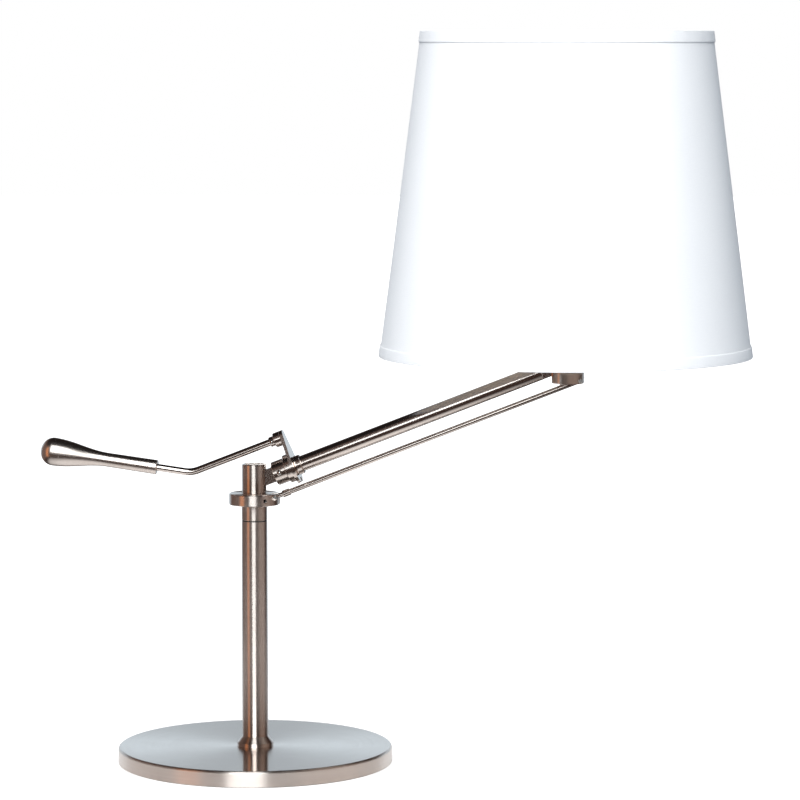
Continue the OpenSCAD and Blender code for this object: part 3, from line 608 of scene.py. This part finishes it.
def linenCloth(name, look):
    # Plain weave on the cloth's own map, in metres: warp and weft are rows of rounded
    # threads, |sin|, and a chequer of their signs says which one lies on top. Slubs are
    # noise drawn out along the weft and along the warp.
    # Height = 0.6 * weave + 0.7 * slubs of the weft + 0.4 * slubs of the warp
    f = newFinish(name)
    u, v, _ = f.split(f.add("ShaderNodeUVMap", {"uv_map": "clothPlace"}))

    def drawnNoise(along, up, lift, **detail):
        return f.noise(f.join(u * along, v * up, lift), **detail)

    wander = drawnNoise(look["wanderScale"], look["wanderScale"], 0.0, detail=2) * look["wander"]
    warp = ((u / look["thread"] + wander) * math.pi).sine()
    weft = ((v / look["thread"] + wander) * math.pi).sine()
    over = (warp * weft).ramp(-0.25, 0.25)
    height = abs(warp) * over + abs(weft) * (1 - over)
    slub = drawnNoise(*look["slub"], 0.0, detail=3, rough=0.6)
    slubUp = drawnNoise(*look["slubUp"], 4.0, detail=3, rough=0.6)
    cloud = drawnNoise(look["cloud"], look["cloud"], 2.0, detail=2)
    # colour: darker where the threads dip between and under one another, which is painted shade
    # of the weave; the slubs and the cloud are the yarn's own tone
    tone = (height * 0.35 + slub * 0.4 + slubUp * 0.25 + cloud * 0.2).ramp(0.25, 0.95)
    return f.surface(colour=f.mix(tone, look["dull"], look["bright"]),
                     roughness=(look["roughness"] + slub * 0.15).clamped(),
                     normal=f.bump(height * 0.6 + slub * 0.7 + slubUp * 0.4, look["depth"],
                                   look["relief"]),
                     sheen=look["sheen"], sheenRoughness=look["sheenRoughness"],
                     specular=look["specular"])


def styreneLining(name, look):
    # smooth laminated inner face: height = 0.3 * a faint print of the weave + slow waves
    f = newFinish(name)
    u, v, _ = f.split(f.add("ShaderNodeUVMap", {"uv_map": "clothPlace"}))
    weavePrint = f.noise(f.join(u * look["print"], v * look["print"], 0.0), detail=2)
    wave = f.noise(f.join(u * look["wave"][0], v * look["wave"][1], 3.0), detail=2)
    return f.surface(colour=f.mix(wave, look["dull"], look["bright"]),
                     roughness=(look["roughness"] + weavePrint * 0.15).clamped(),
                     normal=f.bump(weavePrint * 0.3 + wave, look["depth"]),
                     specular=look["specular"])


clothFinish = linenCloth("shadeLinen", weave)
hemFinish = linenCloth("hemLinen", dict(weave, thread=0.00036))
liningFinish = styreneLining("shadeLining", lining)

bottomTrim, topTrim, fabric = boxOf("bottom_trim"), boxOf("top_trim"), boxOf("shade_fabric")
fabricRadius = halfAcross("shade_fabric")
trimThick = halfAcross("bottom_trim") - fabricRadius
lowEdge, highEdge = fabric[0][2], fabric[1][2]
taper = (halfAcross("top_trim") - halfAcross("bottom_trim")) / (topTrim[0][2] - lowEdge)


def clothRadius(height):
    return fabricRadius + taper * (height - lowEdge)


def smooth(x):
    # 0 below 0, 1 above 1, with a soft S between
    x = np.clip(x, 0, 1)
    return x * x * (3 - 2 * x)


def seamLift(s, height, turnsFrom):
    # offset of the rolled sheet's face: its start sinks and its end lifts by half the
    # thickness each, over the lap; turnsFrom is the angle from the sheet's start
    arc = clothRadius(height) * turnsFrom
    whole = clothRadius(height) * 2 * math.pi + s["lap"]
    sink = 1 - smooth((arc - s["lap"]) / s["ease"])
    lift = smooth((arc - (whole - s["lap"] - s["ease"])) / s["ease"])
    return (lift - sink) * s["thickness"] * 0.5


def shadeSheet(s):
    # radius = cone + seam lift + two sines round the sheet, both dying out at the rims
    height = np.linspace(lowEdge, highEdge, s["rows"])[:, None]
    share = np.linspace(0, 1, s["columns"])[None, :]
    turnsFrom = share * (2 * math.pi + s["lap"] / clothRadius(height))
    angle = s["seamAt"] + turnsFrom
    up = (height - lowEdge) / (highEdge - lowEdge)
    slow = np.sin(angle * s["slowWaves"] + 1.1 + up * 1.5)
    quick = 0.6 * np.sin(angle * s["quickWaves"] - up * 2.2)
    wave = s["wave"] * (slow + quick) * np.sin(math.pi * up)
    radius = clothRadius(height) + seamLift(s, height, turnsFrom) + wave
    uv = np.stack([turnsFrom * clothRadius(lowEdge) * np.ones_like(height),
                   np.broadcast_to(height - lowEdge, radius.shape)], axis=2)
    return aboutHead(radius, angle, height), uv


points, uv = shadeSheet(shade)
clothPiece = gridPiece("shade_cloth", points, [clothFinish, liningFinish], uv=uv, sharp=60)
backing = clothPiece.modifiers.new("backing", "SOLIDIFY")
backing.thickness, backing.offset = shade["thickness"], -1
backing.material_offset = 1
backing.use_even_offset = True
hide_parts("shade_fabric")
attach(clothPiece, "head")
print("shade cloth made")

# Hems: a folded strip round each rim, seen outside and turned in
hem = {
    "cloth": 0.0004,
    "proud": 0.75,                  # share of the trim's thickness that stands out
    "inside": 0.0075,               # how far the strip reaches up the lining
    "crease": 0.0012,               # from the rim to the pressed line
    "creaseDepth": 0.00016,
    "wobble": 0.00012,
    "columns": 384,
}


def hemStrip(h, s, edge, inwards, deep):
    # Section as (distance from the rim, offset from the cloth's face): down the outside,
    # round the rim and up the lining. Carried round the cone with the seam's lift and a
    # ripple of two sines on the outside.
    t = trimThick * h["proud"]
    back = -(s["thickness"] + trimThick * 0.9)
    crease = h["crease"]
    section = np.array([
        (deep, 0.00002), (deep - 0.0003, t * 0.5), (deep - 0.0008, t * 0.9),
        (deep - 0.0016, t), (deep * 0.6, t), (crease * 1.8, t), (crease * 1.25, t * 0.98),
        (crease, t - h["creaseDepth"]), (crease * 0.75, t * 0.98), (0.0004, t * 0.96),
        (0.0, t * 0.8), (-0.0003, t * 0.3), (-0.0004, back * 0.5), (-0.0003, back * 0.85),
        (0.0003, back), (h["inside"] * 0.5, back), (h["inside"] - 0.0003, back),
        (h["inside"], back * 0.85)])
    turnsFrom = np.linspace(0, 1, h["columns"], endpoint=False)[None, :] * 2 * math.pi
    angle = s["seamAt"] + turnsFrom
    height = edge + inwards * section[:, :1]
    bulge = np.maximum(seamLift(s, height, turnsFrom),
                       seamLift(s, height, turnsFrom + 2 * math.pi))
    ripple = h["wobble"] * (np.sin(angle * 37 + edge * 90) + np.sin(angle * 61)) * 0.5
    radius = clothRadius(height) + section[:, 1:] + bulge + ripple * (section[:, 1:] > 0)
    steps = np.linalg.norm(np.diff(section, axis=0), axis=1)
    run = np.cumsum(np.concatenate([[0], steps]))[:, None]
    uv = np.stack([turnsFrom * clothRadius(edge) * np.ones_like(run),
                   run * np.ones_like(turnsFrom)], axis=2)
    return aboutHead(radius, angle, height), uv


for hemName, node, edge, inwards, box in (("bottom_hem", "bottom_trim", lowEdge, 1, bottomTrim),
                                          ("top_hem", "top_trim", highEdge, -1, topTrim)):
    points, uv = hemStrip(hem, shade, edge, inwards, float(box[1][2] - box[0][2]))
    if inwards > 0:
        points, uv = points[::-1], uv[::-1]
    piece = gridPiece(hemName, points, [hemFinish], wrap=True, uv=uv, sharp=60)
    fold = piece.modifiers.new("fold", "SOLIDIFY")
    fold.thickness, fold.offset = hem["cloth"], -1
    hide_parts(node)
    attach(piece, "head")
print("hems made")

lowRadius, highRadius = clothRadius(lowEdge), clothRadius(highEdge)
slant = math.hypot(highEdge - lowEdge, lowRadius - highRadius)
outerArc = lowRadius * slant / (lowRadius - highRadius)      # radius of the flat cut's long edge
halfTurn = math.pi * lowRadius / outerArc + shade["lap"] / 2 / outerArc
flatWidth = 2 * outerArc * math.sin(halfTurn)
flatHeight = outerArc - (outerArc - slant) * math.cos(halfTurn)
flatArea = (math.pi * (lowRadius + highRadius) + shade["lap"]) * slant

# Light: a tall soft box in front, a fill behind, an even room, and a darker surround with
# a bright panel for reflections. A fade is a pair: where a tone sets in and where it is
# whole, as the cosine of the angle from its turn, or as the height of the direction.
studio = {
    "aim": (0.1, 0.0, 0.3),
    "keyTurn": math.radians(1),
    "keyRise": math.radians(30),
    "keyDistance": 2.4,
    "keySize": (1.15, 2.3),
    "keyPower": 62.0,
    "keyColour": (1.0, 0.98, 0.955),
    "fillTurn": math.radians(185),
    "fillPower": 26.0,
    "room": (0.335, 0.375, 0.42),
    "backdrop": (1.0, 1.0, 1.0),
    "dark": (0.055, 0.034, 0.028),
    "left": (0.20, 0.14, 0.12),
    "leftTurn": math.radians(-88),
    "leftFade": (0.3, 0.8),
    "taupe": (0.36, 0.265, 0.22),
    "taupeTurn": math.radians(78),
    "taupeFade": (0.72, 0.99),
    "ceiling": (0.012, 0.010, 0.010),
    "ceilingFade": (0.45, 0.8),
    "amber": (1.0, 0.42, 0.19),
    "amberTurn": math.radians(-50),
    "amberFade": (0.972, 0.994),
    "amberEnds": (0.35, 0.7),
    "screen": (0.74, 0.86, 0.95),
    "screenFade": (0.55, 0.8),
    "screenTop": (0.22, 0.42),
    "screenFoot": (-0.3, -0.1),
    "panel": (4.4, 4.7, 4.8),       # what reflections see of the key
    "panelFade": (0.950, 0.975),
    "panelTop": (0.76, 0.86),
    "panelFoot": (0.0, 0.12),
    "offAxis": 1e-6,                # keeps the flat length off zero
}


def direction(turn, rise=0.0):
    # unit vector from the lamp towards a place round it; turn 0 is in front
    level = math.cos(rise)
    return np.array([math.sin(turn) * level, -math.cos(turn) * level, math.sin(rise)])


def softBox(name, turn, power, s):
    # rectangular lamp that faces the middle of the arm
    data = bpy.data.lights.new(name, "AREA")
    data.shape, data.size, data.size_y = "RECTANGLE", *s["keySize"]
    data.energy, data.color = power, s["keyColour"]
    box = bpy.data.objects.new(name, data)
    away = direction(turn, s["keyRise"]) * s["keyDistance"]
    box.location = (np.array(s["aim"]) + away).tolist()
    box.rotation_euler = (math.pi / 2 - s["keyRise"], 0, turn)
    box.visible_glossy = False
    bpy.context.scene.collection.objects.link(box)


def makeRoom(s):
    # what the lamp reflects, by direction: dark in front and overhead, dim brown to the
    # left, taupe to the right, an amber strip left of the front, a pale screen behind and
    # the key's panel in front; diffuse rays see an even room, the camera a white backdrop
    world = bpy.data.worlds.new("studioRoom")
    bpy.context.scene.world = world
    f = Finish(world)
    x, y, z = f.split(f.add("ShaderNodeTexCoord", None, None, "Generated"))
    flat = (x * x + y * y + s["offAxis"]) ** 0.5

    def facing(turn):
        side = direction(turn)
        return (x * float(side[0]) + y * float(side[1])) / flat

    amber = facing(s["amberTurn"]).ramp(*s["amberFade"]) * (1 - abs(z).ramp(*s["amberEnds"]))
    screen = (facing(math.pi + camera["turn"]).ramp(*s["screenFade"])
              * (1 - z.ramp(*s["screenTop"])) * z.ramp(*s["screenFoot"]))
    panel = (facing(s["keyTurn"]).ramp(*s["panelFade"]) * z.ramp(*s["panelFoot"])
             * (1 - z.ramp(*s["panelTop"])))
    seen = f.mix(facing(s["leftTurn"]).ramp(*s["leftFade"]), s["dark"], s["left"])
    seen = f.mix(facing(s["taupeTurn"]).ramp(*s["taupeFade"]), seen, s["taupe"])
    seen = f.mix(z.ramp(*s["ceilingFade"]), seen, s["ceiling"])
    seen = f.mix(amber, seen, s["amber"])
    seen = f.mix(screen, seen, s["screen"])
    seen = f.mix(panel, seen, s["panel"])
    ray = f.add("ShaderNodeLightPath").socket.node.outputs
    seen = f.mix(Field(f, ray["Is Diffuse Ray"]), seen, s["room"])
    seen = f.mix(Field(f, ray["Is Camera Ray"]), seen, s["backdrop"])
    light = f.add("ShaderNodeBackground", None, {"Color": seen, "Strength": 1.0})
    f.add("ShaderNodeOutputWorld", None, {"Surface": light})


farFloor = {
    "radius": 12.0,
    "height": 0.0,
    "fade": (0.25, 0.7),            # distances between which the glow takes over
    "glow": (1.0, 1.0, 1.0),
    "glowPower": 1.5,
    "near": 0.38,                   # share of glow under the lamp
    "grain": 300,
    "dull": (0.92, 0.90, 0.88),
    "bright": (0.95, 0.93, 0.91),
}
nearFloor = dict(farFloor, radius=0.6, height=-0.0004, fade=(0.2, 0.45),
                 glow=(0.03, 0.021, 0.018), near=0.0)


def paleFloor(name, look):
    # matt white with a share of even glow, which turns wholly to glow away from the lamp
    f = newFinish(name)
    local = f.place()
    x, y, _ = f.split(local)
    away = ((x * x + y * y) ** 0.5).ramp(*look["fade"])
    grain = f.noise(local, scale=look["grain"], detail=2)
    matt = f.add("ShaderNodeBsdfDiffuse", None,
                 {"Color": f.mix(grain, look["dull"], look["bright"])})
    glow = f.add("ShaderNodeEmission", None,
                 {"Color": look["glow"], "Strength": look["glowPower"]})
    share = away * (1 - look["near"]) + look["near"]
    both = f.add("ShaderNodeMixShader", None, {0: share, 1: matt, 2: glow})
    f.add("ShaderNodeOutputMaterial", None, {"Surface": both})
    return f.owner


def disc(name, look, material, rings=24, steps=96):
    # flat round sheet: ring radius = whole radius * share ** 1.5
    ring = look["radius"] * np.linspace(0.0, 1, rings)[:, None] ** 1.5
    angle = np.linspace(0, 2 * math.pi, steps, endpoint=False)[None, :]
    height = np.full((rings, steps), look["height"])
    points = np.stack([ring * np.cos(angle), ring * np.sin(angle), height], axis=2)
    return gridPiece(name, points, [material], wrap=True)


softBox("keyBox", studio["keyTurn"], studio["keyPower"], studio)
softBox("backFill", studio["fillTurn"], studio["fillPower"], studio)
makeRoom(studio)
sweep = disc("floor_sweep", farFloor, paleFloor("studioFloor", farFloor))
sweep.visible_glossy = sweep.visible_diffuse = sweep.visible_shadow = False
table = disc("floor_near", nearFloor, paleFloor("floorNear", nearFloor))
table.visible_camera = table.visible_diffuse = table.visible_shadow = False
view = bpy.context.scene.view_settings
view.view_transform, view.look = "Standard", "None"
print("studio made")
